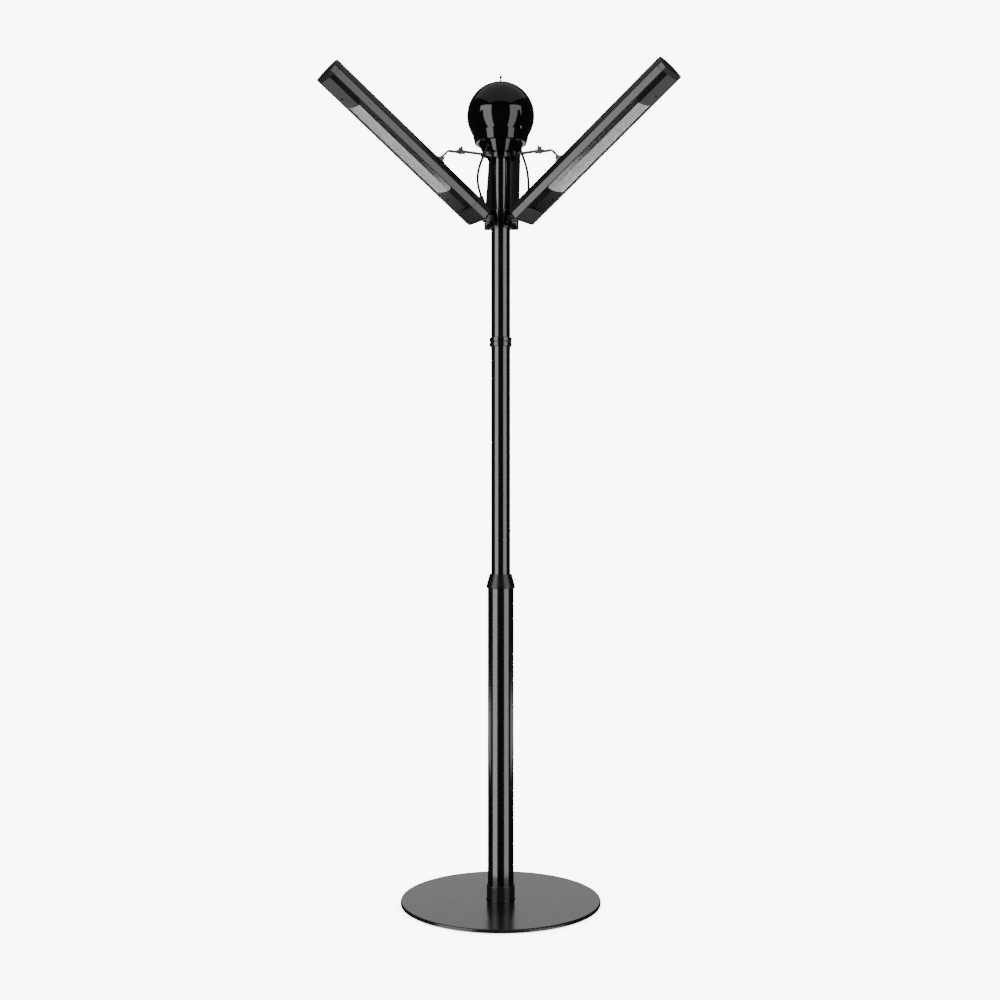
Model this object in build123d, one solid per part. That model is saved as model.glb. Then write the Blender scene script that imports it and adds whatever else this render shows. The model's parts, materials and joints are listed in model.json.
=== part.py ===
from build123d import *
import math
import os

# Free-standing electric heater: round base, telescopic pole, ball-shaped wiring housing and three
# slim radiant heads that lean out from the pole. Millimetres, +Z up, origin on the floor at the
# pole's axis. A head is drawn lying along X in its own frame (X along it, Y across it, Z towards its
# back, front face at Z = 0) and is then leaned and turned to its place round the pole.

# ---- driving dimensions ------------------------------------------------------------------------

# Base
BASE_RADIUS = 250.0
BASE_THICKNESS = 8.0
BASE_EDGE = 3.0
PAD_THICKNESS = 2.0
PAD_INSET = 7.0
SOCKET_WALL = 2.45
SOCKET_HEIGHT = 37.0
SOCKET_FLOOR = 12.0
SOCKET_EDGE = 2.0
BOLT_COUNT = 3
BOLT_CIRCLE = 21.0
BOLT_RADIUS = 4.0
BOLT_HEAD_RADIUS = 7.0
BOLT_HEAD_HEIGHT = 4.0
BOLT_TIP_GAP = 1.0

# Pole
LOWER_TUBE_RADIUS = 32.5
LOWER_TUBE_WALL = 1.5
LOWER_TUBE_TOP = 798.0
UPPER_TUBE_RADIUS = 24.0
UPPER_TUBE_WALL = 1.5
JOINT_RING_Z = 1391.0
JOINT_RING_HEIGHT = 23.0
JOINT_BEAD = 4.0
JOINT_SPIGOT = 40.0
TUBE_OVERLAP = 100.0
BUSH_DEPTH = 58.0
BUSH_FLANGE = 3.0
END_GUIDE_LIP = 3.0

# Lock collar on the top of the lower tube
COLLAR_SKIRT = 11.0
COLLAR_FLANGE_HEIGHT = 6.0
COLLAR_WALL = 3.2
COLLAR_CONE_HEIGHT = 21.0
COLLAR_TOP_WALL = 3.7
COLLET_HEIGHT = 15.0
COLLET_WALL = 2.2

# Mains cable gland, low on the back of the lower tube
GLAND_Z = 75.0
GLAND_SHANK_RADIUS = 8.0
GLAND_NUT_RADIUS = 11.0
GLAND_NUT_HEIGHT = 5.0
GLAND_DOME_RADIUS = 9.0
GLAND_DOME_HEIGHT = 11.0
GLAND_BORE_RADIUS = 4.0
GLAND_INSIDE = 4.0

# Heads
HEADS = {"rear": 88.4, "left": 208.4, "right": 328.4}
HEAD_LEAN = 37.0
HEAD_LENGTH = 511.5
HEAD_HALF_WIDTH = 44.0
HEAD_SIDE = 18.0
HEAD_DEPTH = 50.0
HEAD_WALL = 2.0
HEAD_EDGE = 1.2
SEAM_EDGE = 0.5
HEAD_BACK_GAP = 5.6
HEAD_FOOT_DROP = 167.0
LOWER_CAP = 48.0
UPPER_CAP = 13.0
CAP_WALL = 4.0
LOWER_CAP_ROUND = 9.0
UPPER_CAP_ROUND = 2.0
PLATE_SETBACK = 1.0
PLATE_FOLD = 7.0
PLATE_THICKNESS = 1.6
WINDOW_START = 120.0
WINDOW_TO_TIP = 96.5
WINDOW_HALF_WIDTH = 38.0
WINDOW_BOW = 9.5
GRILLE_THICKNESS = 1.0
GRILLE_OVERLAP = 6.0
GRILLE_ROWS = 3
GRILLE_PITCH = 24.0
GRILLE_BAR = 3.0
REFLECTOR_FLANGE = 3.0
REFLECTOR_RIM = 5.2
REFLECTOR_CROWN = 33.0
REFLECTOR_THICKNESS = 0.8
REFLECTOR_OVERRUN = 5.0
TUBE_RADIUS = 5.5
TUBE_DEPTH = 21.0
TUBE_END_RADIUS = 3.5
TUBE_END_LENGTH = 12.0
HOLDER_LENGTH = 9.0
HOLDER_HALF_WIDTH = 11.0
HOLDER_FRONT = 12.0
HOLDER_BACK = 34.0

# Hinges
PIN_RADIUS = 3.0
PIN_HEAD_RADIUS = 4.5
PIN_HEAD_HEIGHT = 1.2
EYE_HALF_WIDTH = 7.0
EAR_THICKNESS = 4.0
HEAD_EYE_RADIUS = 7.5
HEAD_HINGE_ALONG = -9.0
HEAD_HINGE_DEPTH = 25.6
HUB_COLLAR_WALL = 4.25
HUB_COLLAR_BELOW = 7.0
HUB_COLLAR_HEIGHT = 46.0
HUB_COLLAR_EDGE = 1.5

# Stays
STAY_EYE_RADIUS = 6.0
STAY_THICKNESS = 3.0
STAY_HALF_WIDTH = 7.0
HUB_PIVOT_REACH = 11.0
HUB_PIVOT_RISE = 7.6
HEAD_PIVOT_ALONG = 172.7
HEAD_PIVOT_RISE = 6.4
STAY_BEND_SETBACK = 21.0
SCREW_REACH = 112.0
SCREW_TO_STAY_END = 12.0
SLOT_TRAVEL = 38.0
BRACKET_HALF_LENGTH = 12.0
BRACKET_SADDLE = 7.0
BRACKET_TOP = 2.5
SCREW_RADIUS = 3.0
SCREW_HEAD_RADIUS = 6.0
SCREW_HEAD_HEIGHT = 3.0
SCREW_LIFT = 1.8
WING_HALF_SPAN = 9.0
WING_HEIGHT = 6.0
WING_THICKNESS = 2.4
SCREW_BUTTON = 2.0

# Hub cone and ball
CONE_LOW = 1860.0
CONE_STEP = 14.0
CONE_HEIGHT = 39.0
CONE_RING_WALL = 9.95
CONE_STEP_WIDTH = 10.0
CONE_FLARE = 12.0
CONE_WALL = 3.0
CUP_LOW_RADIUS = 65.0
CUP_HEIGHT = 24.0
CUP_FLOOR = 3.0
CUP_HOLE_RADIUS = 15.0
CUP_EDGE = 1.5
BALL_RADIUS = 84.2
BALL_DROP = 46.0
BALL_WALL = 2.5
SEAM_LIP = 5.0
FINIAL_STEM_RADIUS = 1.8
FINIAL_STEM = 11.8
FINIAL_RADIUS = 3.8
TERMINAL_SIZE = (44.0, 26.0, 16.0)
TERMINAL_POLES = 4
TERMINAL_HOLE = 2.0

# Leads from the cone to the heads, in the frame of a head at azimuth 0
LEAD_RADIUS = 3.15
LEAD_POINTS = [
    (47.2, 17.0, CONE_LOW + 24.0),
    (55.0, 16.5, CONE_LOW + 4.0),
    (66.5, 14.0, CONE_LOW - 23.0),
    (73.0, 12.5, CONE_LOW - 54.0),
    (71.5, 16.0, CONE_LOW - 80.5),
    (66.5, 21.5, CONE_LOW - 104.0),
]
LEAD_GLAND_RADIUS = 5.2
LEAD_GLAND_LENGTH = 9.0
LEAD_NOTCH = 8.0
LEAD_BOSS_RADIUS = 5.5
LEAD_BOSS_DEPTH = 22.0

# Clearances
FIT_GAP = 0.05
TURN_GAP = 0.3
HOLE_GAP = 0.2

# ---- worked out from the driving dimensions ----------------------------------------------------

PLATE_LOW = PAD_THICKNESS
PLATE_HIGH = PLATE_LOW + BASE_THICKNESS
TUBE_FOOT_Z = PLATE_HIGH + SOCKET_FLOOR
SOCKET_BORE = LOWER_TUBE_RADIUS + FIT_GAP
LOWER_TUBE_BORE = LOWER_TUBE_RADIUS - LOWER_TUBE_WALL
UPPER_TUBE_BORE = UPPER_TUBE_RADIUS - UPPER_TUBE_WALL
BUSH_LOW = LOWER_TUBE_TOP - BUSH_DEPTH
BUSH_HIGH = LOWER_TUBE_TOP + BUSH_FLANGE
SLIDE_BORE = UPPER_TUBE_RADIUS + FIT_GAP
MIDDLE_TUBE_LOW = LOWER_TUBE_TOP - TUBE_OVERLAP
END_GUIDE_TOP = BUSH_LOW - TURN_GAP
JOINT_RING_HIGH = JOINT_RING_Z + JOINT_RING_HEIGHT
EAR_INNER = EYE_HALF_WIDTH + TURN_GAP
EAR_OUTER = EAR_INNER + EAR_THICKNESS
PLATE_HALF_WIDTH = HEAD_HALF_WIDTH - HEAD_WALL - FIT_GAP
CONE_STEP_Z = CONE_LOW + CONE_STEP
CONE_HIGH = CONE_LOW + CONE_HEIGHT
CONE_RING_RADIUS = SLIDE_BORE + CONE_RING_WALL
CONE_STEP_RADIUS = CONE_RING_RADIUS + CONE_STEP_WIDTH
CONE_TOP_RADIUS = CONE_STEP_RADIUS + CONE_FLARE
HUB_PIVOT_RADIUS = CONE_RING_RADIUS + HUB_PIVOT_REACH
HUB_PIVOT_Z = CONE_LOW + HUB_PIVOT_RISE
CUP_TOP = CONE_HIGH + CUP_HEIGHT
BALL_CENTRE = CUP_TOP + BALL_DROP
CUP_TOP_RADIUS = math.sqrt(BALL_RADIUS**2 - BALL_DROP**2)
STAY_FACE_Z = HUB_PIVOT_Z - STAY_THICKNESS / 2
HEAD_STAY_TOP = STAY_FACE_Z - TURN_GAP
HEAD_STAY_LOW = HEAD_STAY_TOP - STAY_THICKNESS

WINDOW_END = HEAD_LENGTH - WINDOW_TO_TIP
HEAD_PIVOT_DEPTH = HEAD_DEPTH + HEAD_PIVOT_RISE
SIN_LEAN = math.sin(math.radians(HEAD_LEAN))
COS_LEAN = math.cos(math.radians(HEAD_LEAN))
HUB_COLLAR_RADIUS = SLIDE_BORE + HUB_COLLAR_WALL
HEAD_FOOT_RADIUS = HUB_COLLAR_RADIUS + HEAD_BACK_GAP + HEAD_DEPTH * SIN_LEAN
HEAD_FOOT_Z = CONE_LOW - HEAD_FOOT_DROP
HUB_COLLAR_LOW = HEAD_FOOT_Z - HUB_COLLAR_BELOW
HUB_COLLAR_HIGH = HUB_COLLAR_LOW + HUB_COLLAR_HEIGHT
HEAD_PLACE = Pos(HEAD_FOOT_RADIUS, 0, HEAD_FOOT_Z) * Rot(0, -HEAD_LEAN, 0)


def from_head(along, depth):
    """Radius and height of a point that a head's frame gives by its length and depth."""
    radius = HEAD_FOOT_RADIUS + along * COS_LEAN - depth * SIN_LEAN
    height = HEAD_FOOT_Z + along * SIN_LEAN + depth * COS_LEAN
    return radius, height


HINGE_RADIUS, HINGE_Z = from_head(HEAD_HINGE_ALONG, HEAD_HINGE_DEPTH)
HEAD_PIVOT_RADIUS, HEAD_PIVOT_Z = from_head(HEAD_PIVOT_ALONG, HEAD_PIVOT_DEPTH)

# ---- small building blocks ---------------------------------------------------------------------

UP = (Align.CENTER, Align.CENTER, Align.MIN)


def rod(radius, low, high):
    """Round bar on the pole's axis from low to high."""
    return Pos(0, 0, low) * Cylinder(radius, high - low, align=UP)


def tube(radius, bore, low, high):
    """Tube on the pole's axis."""
    return rod(radius, low, high) - rod(bore, low, high)


def turned(points):
    """Solid of revolution about the pole's axis from (radius, height) points."""
    outline = Polyline(*[(radius, 0, height) for radius, height in points], close=True)
    return revolve(make_face(outline), Axis.Z)


def cross_bar(radius, x, z, y_from, y_to):
    """Round bar along Y at (x, z)."""
    bar = Cylinder(radius, y_to - y_from, align=UP)
    return Pos(x, y_from, z) * Rot(-90, 0, 0) * bar


def block(x_from, x_to, y_from, y_to, z_from, z_to):
    """Box between two corners."""
    middle = Pos((x_from + x_to) / 2, (y_from + y_to) / 2, (z_from + z_to) / 2)
    return middle * Box(x_to - x_from, y_to - y_from, z_to - z_from)


def around(solid, count=3, start=0.0):
    """Copies of a solid evenly spaced round the pole."""
    return [Rot(0, 0, start + index * 360 / count) * solid for index in range(count)]


def at_heads(solid):
    """Copies of a solid at the azimuths of the three heads."""
    return [Rot(0, 0, azimuth) * solid for azimuth in HEADS.values()]


def clevis(reach_from, pivot_radius, pivot_z, eye_radius):
    """Two ears with a pin hole, standing out from a ring on the pole's axis at azimuth 0."""
    ears = []
    for low, high in ((EAR_INNER, EAR_OUTER), (-EAR_OUTER, -EAR_INNER)):
        ear = block(reach_from, pivot_radius, low, high, pivot_z - eye_radius, pivot_z + eye_radius)
        ear += cross_bar(eye_radius, pivot_radius, pivot_z, low, high)
        ears.append(ear - cross_bar(PIN_RADIUS + FIT_GAP / 2, pivot_radius, pivot_z, low, high))
    return ears


# ---- base --------------------------------------------------------------------------------------


def base_pad():
    return rod(BASE_RADIUS - PAD_INSET, 0, PAD_THICKNESS)


def base_plate():
    plate = rod(BASE_RADIUS, PLATE_LOW, PLATE_HIGH)
    plate = fillet(plate.edges().group_by(Axis.Z)[-1], BASE_EDGE)
    hole = rod(BOLT_RADIUS + HOLE_GAP, PLATE_LOW, PLATE_HIGH)
    hole += rod(BOLT_HEAD_RADIUS + HOLE_GAP, PLATE_LOW, PLATE_LOW + BOLT_HEAD_HEIGHT)
    for copy in around(Pos(BOLT_CIRCLE, 0, 0) * hole, BOLT_COUNT):
        plate -= copy
    return plate


def base_socket():
    socket = rod(SOCKET_BORE + SOCKET_WALL, PLATE_HIGH, PLATE_HIGH + SOCKET_HEIGHT)
    socket = fillet(socket.edges().group_by(Axis.Z)[-1], SOCKET_EDGE)
    socket -= rod(SOCKET_BORE, TUBE_FOOT_Z, PLATE_HIGH + SOCKET_HEIGHT)
    hole = Pos(BOLT_CIRCLE, 0, 0) * rod(BOLT_RADIUS + FIT_GAP, PLATE_HIGH, TUBE_FOOT_Z - BOLT_TIP_GAP)
    for copy in around(hole, BOLT_COUNT):
        socket -= copy
    return socket


def base_bolts():
    bolt = rod(BOLT_HEAD_RADIUS, PLATE_LOW, PLATE_LOW + BOLT_HEAD_HEIGHT)
    bolt += rod(BOLT_RADIUS, PLATE_LOW, TUBE_FOOT_Z - 2 * BOLT_TIP_GAP)
    return around(Pos(BOLT_CIRCLE, 0, 0) * bolt, BOLT_COUNT)


def gland_bar(radius, y_from, y_to):
    """Round bar on the mains gland's axis, which points to the back."""
    return Pos(0, y_from, GLAND_Z) * Rot(-90, 0, 0) * Cylinder(radius, y_to - y_from, align=UP)


def lower_tube():
    body = tube(LOWER_TUBE_RADIUS, LOWER_TUBE_BORE, TUBE_FOOT_Z, LOWER_TUBE_TOP)
    return body - gland_bar(GLAND_SHANK_RADIUS + FIT_GAP, 0, 2 * LOWER_TUBE_RADIUS)


def mains_gland():
    nut_end = LOWER_TUBE_RADIUS + GLAND_NUT_HEIGHT
    gland = gland_bar(GLAND_SHANK_RADIUS, LOWER_TUBE_BORE - GLAND_INSIDE, nut_end)
    gland += gland_bar(GLAND_NUT_RADIUS, LOWER_TUBE_RADIUS, nut_end)
    dome = gland_bar(GLAND_DOME_RADIUS, nut_end, nut_end + GLAND_DOME_HEIGHT)
    gland += fillet(dome.edges().group_by(Axis.Y)[-1], GLAND_DOME_RADIUS / 3)
    return gland - gland_bar(GLAND_BORE_RADIUS, 0, 2 * nut_end)


def guide_bush():
    bush = rod(LOWER_TUBE_BORE - FIT_GAP, BUSH_LOW, LOWER_TUBE_TOP)
    bush += rod(LOWER_TUBE_RADIUS, LOWER_TUBE_TOP, BUSH_HIGH)
    return bush - rod(SLIDE_BORE, BUSH_LOW, BUSH_HIGH)


COLLAR_BORE = LOWER_TUBE_RADIUS + TURN_GAP
COLLAR_FLANGE_RADIUS = COLLAR_BORE + COLLAR_WALL
COLLAR_LOW = LOWER_TUBE_TOP - COLLAR_SKIRT
COLLAR_CAVITY_TOP = BUSH_HIGH + TURN_GAP
COLLAR_TOP = COLLAR_CAVITY_TOP + COLLAR_CONE_HEIGHT


def lock_collar():
    outside = turned(
        [
            (0, COLLAR_LOW),
            (COLLAR_FLANGE_RADIUS, COLLAR_LOW),
            (COLLAR_FLANGE_RADIUS, COLLAR_LOW + COLLAR_FLANGE_HEIGHT),
            (UPPER_TUBE_RADIUS + TURN_GAP + COLLAR_TOP_WALL, COLLAR_TOP),
            (0, COLLAR_TOP),
        ]
    )
    outside = fillet(outside.edges().group_by(Axis.Z)[0], COLLAR_WALL / 3)
    collet_room = SLIDE_BORE + COLLET_WALL + TURN_GAP
    inside = rod(COLLAR_BORE, COLLAR_LOW, COLLAR_CAVITY_TOP)
    inside += rod(collet_room, COLLAR_CAVITY_TOP, COLLAR_CAVITY_TOP + COLLET_HEIGHT)
    inside += rod(UPPER_TUBE_RADIUS + TURN_GAP, COLLAR_CAVITY_TOP, COLLAR_TOP)
    return outside - inside


def clamp_ring():
    high = BUSH_HIGH + COLLET_HEIGHT
    ring = turned(
        [
            (SLIDE_BORE, BUSH_HIGH),
            (SLIDE_BORE + COLLET_WALL, BUSH_HIGH),
            (SLIDE_BORE + COLLET_WALL / 2, high),
            (SLIDE_BORE, high),
        ]
    )
    split = block(0, 2 * UPPER_TUBE_RADIUS, -COLLET_WALL / 2, COLLET_WALL / 2, BUSH_HIGH, high)
    return ring - split


# ---- mast --------------------------------------------------------------------------------------


def middle_tube():
    return tube(UPPER_TUBE_RADIUS, UPPER_TUBE_BORE, MIDDLE_TUBE_LOW, JOINT_RING_Z)


def end_guide():
    """Ring that runs in the lower tube; its foot lip carries the middle tube."""
    low = MIDDLE_TUBE_LOW - END_GUIDE_LIP
    guide = tube(LOWER_TUBE_BORE - FIT_GAP, UPPER_TUBE_BORE, low, END_GUIDE_TOP)
    return guide - rod(SLIDE_BORE, MIDDLE_TUBE_LOW, END_GUIDE_TOP)


def joint_coupling():
    """Two rounded beads between the tubes, on a spigot that runs into both."""
    middle = JOINT_RING_Z + JOINT_RING_HEIGHT / 2
    ring = rod(UPPER_TUBE_RADIUS + JOINT_BEAD / 2, JOINT_RING_Z, JOINT_RING_HIGH)
    for low, high in ((JOINT_RING_Z, middle - 1), (middle + 1, JOINT_RING_HIGH)):
        bead = rod(UPPER_TUBE_RADIUS + JOINT_BEAD, low, high)
        ring += fillet(bead.edges(), JOINT_BEAD / 2)
    low = JOINT_RING_Z - JOINT_SPIGOT
    high = JOINT_RING_HIGH + JOINT_SPIGOT
    spigot = rod(UPPER_TUBE_BORE - FIT_GAP, low, high)
    return ring + spigot - rod(UPPER_TUBE_BORE - 2 * UPPER_TUBE_WALL, low, high)


def upper_tube():
    return tube(UPPER_TUBE_RADIUS, UPPER_TUBE_BORE, JOINT_RING_HIGH, CONE_HIGH)


def hub_collar():
    collar = rod(HUB_COLLAR_RADIUS, HUB_COLLAR_LOW, HUB_COLLAR_HIGH)
    collar = fillet(collar.edges(), HUB_COLLAR_EDGE)
    ears = clevis(UPPER_TUBE_RADIUS, HINGE_RADIUS, HINGE_Z, HEAD_EYE_RADIUS)
    for ear in ears:
        for copy in at_heads(ear):
            collar += copy
    return collar - rod(SLIDE_BORE, HUB_COLLAR_LOW, HUB_COLLAR_HIGH)


def hub_cone():
    """Cast cone: ring on the tube, step with the stay clevises and flare up to the cup."""
    outside = turned(
        [
            (0, CONE_LOW),
            (CONE_RING_RADIUS, CONE_LOW),
            (CONE_RING_RADIUS, CONE_STEP_Z),
            (CONE_STEP_RADIUS, CONE_STEP_Z),
            (CONE_TOP_RADIUS, CONE_HIGH),
            (0, CONE_HIGH),
        ]
    )
    for ear in clevis(UPPER_TUBE_RADIUS, HUB_PIVOT_RADIUS, HUB_PIVOT_Z, STAY_EYE_RADIUS):
        for copy in at_heads(ear):
            outside += copy
    hollow = turned(
        [
            (SLIDE_BORE + CONE_WALL, CONE_STEP_Z + CONE_WALL),
            (CONE_STEP_RADIUS - CONE_WALL, CONE_STEP_Z + CONE_WALL),
            (CONE_TOP_RADIUS - CONE_WALL, CONE_HIGH),
            (SLIDE_BORE + CONE_WALL, CONE_HIGH),
        ]
    )
    cone = outside - hollow - rod(SLIDE_BORE, CONE_LOW, CONE_HIGH)
    for gland in at_heads(gland_body(FIT_GAP, LEAD_NOTCH)):
        cone -= gland
    return cone


def ball_cup():
    outside = turned(
        [
            (0, CONE_HIGH),
            (CUP_LOW_RADIUS, CONE_HIGH),
            (CUP_TOP_RADIUS, CUP_TOP),
            (CUP_TOP_RADIUS - BALL_WALL - FIT_GAP, CUP_TOP),
            (CUP_TOP_RADIUS - BALL_WALL - FIT_GAP, CUP_TOP + SEAM_LIP),
            (0, CUP_TOP + SEAM_LIP),
        ]
    )
    outside = fillet(outside.edges().group_by(Axis.Z)[0], CUP_EDGE)
    hollow = turned(
        [
            (0, CONE_HIGH + CUP_FLOOR),
            (CUP_LOW_RADIUS - BALL_WALL, CONE_HIGH + CUP_FLOOR),
            (CUP_TOP_RADIUS - 2 * BALL_WALL, CUP_TOP),
            (CUP_TOP_RADIUS - 2 * BALL_WALL, CUP_TOP + SEAM_LIP),
            (0, CUP_TOP + SEAM_LIP),
        ]
    )
    return outside - hollow - rod(CUP_HOLE_RADIUS, CONE_HIGH, CONE_HIGH + CUP_FLOOR)


def ball_dome():
    shell = Pos(0, 0, BALL_CENTRE) * Sphere(BALL_RADIUS)
    shell -= Pos(0, 0, BALL_CENTRE) * Sphere(BALL_RADIUS - BALL_WALL)
    shell -= rod(2 * BALL_RADIUS, CUP_TOP - 2 * BALL_RADIUS, CUP_TOP)
    shell -= rod(CUP_TOP_RADIUS - BALL_WALL, CUP_TOP, CUP_TOP + SEAM_LIP + FIT_GAP)
    return shell - rod(FINIAL_STEM_RADIUS + FIT_GAP, BALL_CENTRE, BALL_CENTRE + 2 * BALL_RADIUS)


def finial():
    top = BALL_CENTRE + BALL_RADIUS
    stem = rod(FINIAL_STEM_RADIUS, top - 2 * BALL_WALL, top + FINIAL_STEM)
    bead = Pos(0, 0, top + FINIAL_STEM + FINIAL_RADIUS / 2) * Sphere(FINIAL_RADIUS)
    return stem + bead


def terminal_block():
    length, width, height = TERMINAL_SIZE
    low = CONE_HIGH + CUP_FLOOR
    body = block(-length / 2, length / 2, -width / 2, width / 2, low, low + height)
    spacing = length / TERMINAL_POLES
    for pole in range(TERMINAL_POLES):
        x = (pole - (TERMINAL_POLES - 1) / 2) * spacing
        body -= cross_bar(TERMINAL_HOLE, x, low + height / 2, -width, width)
    return body


def hinge_pins():
    """Equal pins: one through each head clevis and one through each stay clevis."""
    places = ((HINGE_RADIUS, HINGE_Z), (HUB_PIVOT_RADIUS, HUB_PIVOT_Z))
    pins = []
    for radius, height in places:
        pin = cross_bar(PIN_RADIUS, radius, height, -EAR_OUTER, EAR_OUTER)
        pin += cross_bar(PIN_HEAD_RADIUS, radius, height, EAR_OUTER, EAR_OUTER + PIN_HEAD_HEIGHT)
        pin += cross_bar(PIN_HEAD_RADIUS, radius, height, -EAR_OUTER - PIN_HEAD_HEIGHT, -EAR_OUTER)
        pins += at_heads(pin)
    return pins


# ---- leads -------------------------------------------------------------------------------------


def gland_body(gap=0.0, beyond=0.0):
    """Lead gland: it ends where the lead starts and runs back through the cone's wall."""
    start = Vector(*LEAD_POINTS[0])
    direction = (Vector(*LEAD_POINTS[1]) - start).normalized()
    seat = Plane(origin=start - direction * LEAD_GLAND_LENGTH, z_dir=direction)
    return seat * Cylinder(LEAD_GLAND_RADIUS + gap, LEAD_GLAND_LENGTH + beyond, align=UP)


def lead_glands():
    return at_heads(gland_body())


def lead():
    """Flexible lead: straight runs joined by tangent arcs as large as the runs allow."""
    points = [Vector(*point) for point in LEAD_POINTS]
    radii = []
    for before, corner, after in zip(points, points[1:], points[2:]):
        turn = math.radians((corner - before).get_angle(after - corner))
        shorter = min((corner - before).length, (after - corner).length)
        radii.append(0.45 * shorter / math.tan(turn / 2))
    path = FilletPolyline(*points, radius=radii)
    section = Plane(origin=points[0], z_dir=points[1] - points[0]) * Circle(LEAD_RADIUS)
    solid = sweep(section, path=path)
    ratio = solid.volume / (math.pi * LEAD_RADIUS**2 * path.length)
    print("lead length", round(path.length, 1), "radii", [round(radius) for radius in radii])
    print("lead volume over section times length", round(ratio, 4))
    return solid


# ---- heads, each drawn in its own frame --------------------------------------------------------


def arch(half_width, crown, front, x_from, x_to, edge=0.0):
    """Bar of the head's section: flat front, straight sides and a round back."""
    side = min(HEAD_SIDE, crown)
    edges = [
        Line((0, half_width, front), (0, -half_width, front)),
        Line((0, -half_width, front), (0, -half_width, side)),
        ThreePointArc((0, -half_width, side), (0, 0, crown), (0, half_width, side)),
        Line((0, half_width, side), (0, half_width, front)),
    ]
    section = make_face(edges)
    if edge > 0:
        section = fillet(section.vertices().group_by(Axis.Z)[0], edge)
    return Pos(x_from, 0, 0) * extrude(section, amount=x_to - x_from, dir=(1, 0, 0))


def folded_sheet(half_width, setback, thickness, x_from, x_to):
    """Sheet with a shallow fold along its middle, hollow towards the front."""
    fold = setback + PLATE_FOLD * half_width / PLATE_HALF_WIDTH
    section = make_face(
        Polyline(
            (0, -half_width, setback),
            (0, 0, fold),
            (0, half_width, setback),
            (0, half_width, setback + thickness),
            (0, 0, fold + thickness),
            (0, -half_width, setback + thickness),
            close=True,
        )
    )
    return Pos(x_from, 0, 0) * extrude(section, amount=x_to - x_from, dir=(1, 0, 0))


SHELL_END = HEAD_LENGTH - UPPER_CAP
PLATE_SPAN = (LOWER_CAP, SHELL_END)


def shell():
    outside = arch(HEAD_HALF_WIDTH, HEAD_DEPTH, 0, LOWER_CAP, SHELL_END, HEAD_EDGE)
    seams = outside.edges().group_by(Axis.X)
    outside = chamfer(seams[0] + seams[-1], SEAM_EDGE)
    return outside - arch(HEAD_HALF_WIDTH - HEAD_WALL, HEAD_DEPTH - HEAD_WALL, -1, LOWER_CAP, SHELL_END)


def cap(x_from, x_to, closed_low, rounding):
    """Cup over one end of the shell, rounded at its closed end."""
    body = arch(HEAD_HALF_WIDTH, HEAD_DEPTH, 0, x_from, x_to, HEAD_EDGE)
    rims = body.edges().group_by(Axis.X)
    body = chamfer(rims[-1 if closed_low else 0], SEAM_EDGE)
    end_face = body.faces().sort_by(Axis.X)[0 if closed_low else -1]
    body = fillet(end_face.edges(), rounding)
    room_from = x_from + CAP_WALL if closed_low else x_from
    room_to = x_to if closed_low else x_to - CAP_WALL
    return body - arch(HEAD_HALF_WIDTH - CAP_WALL, HEAD_DEPTH - CAP_WALL, CAP_WALL, room_from, room_to)


def lower_cap():
    """Cap with the hinge eye and the boss that takes the lead."""
    body = cap(0, LOWER_CAP, True, LOWER_CAP_ROUND)
    eye = block(
        HEAD_HINGE_ALONG,
        CAP_WALL,
        -EYE_HALF_WIDTH,
        EYE_HALF_WIDTH,
        HEAD_HINGE_DEPTH - HEAD_EYE_RADIUS,
        HEAD_HINGE_DEPTH + HEAD_EYE_RADIUS,
    )
    hinge = (HEAD_HINGE_ALONG, HEAD_HINGE_DEPTH, -EYE_HALF_WIDTH, EYE_HALF_WIDTH)
    eye += cross_bar(HEAD_EYE_RADIUS, *hinge)
    eye -= cross_bar(PIN_RADIUS + FIT_GAP, *hinge)
    end = Vector(*LEAD_POINTS[-1])
    direction = (end - Vector(*LEAD_POINTS[-2])).normalized()
    boss = Plane(origin=end, z_dir=direction) * Cylinder(LEAD_BOSS_RADIUS, LEAD_BOSS_DEPTH, align=UP)
    boss = HEAD_PLACE.inverse() * boss
    boss -= arch(HEAD_HALF_WIDTH - CAP_WALL, HEAD_DEPTH - CAP_WALL, CAP_WALL, CAP_WALL, LOWER_CAP)
    boss_parts = boss.solids().sort_by(Axis.Z)
    return body + eye + boss_parts[-1]


def upper_cap():
    return cap(SHELL_END, HEAD_LENGTH, False, UPPER_CAP_ROUND)


def window(margin, low, high):
    """Block in the outline of the window, whose two ends bow towards the pole."""
    start = WINDOW_START - margin
    end = WINDOW_END + margin
    half = min(WINDOW_HALF_WIDTH + margin, PLATE_HALF_WIDTH)
    edges = [
        Line((start, half, low), (end, half, low)),
        ThreePointArc((end, half, low), (end - WINDOW_BOW, 0, low), (end, -half, low)),
        Line((end, -half, low), (start, -half, low)),
        ThreePointArc((start, -half, low), (start - WINDOW_BOW, 0, low), (start, half, low)),
    ]
    return extrude(make_face(edges), amount=high - low, dir=(0, 0, 1))


def front_plate():
    plate = folded_sheet(PLATE_HALF_WIDTH, PLATE_SETBACK, PLATE_THICKNESS, *PLATE_SPAN)
    return plate - window(0, -PLATE_FOLD, 3 * PLATE_FOLD)


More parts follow.
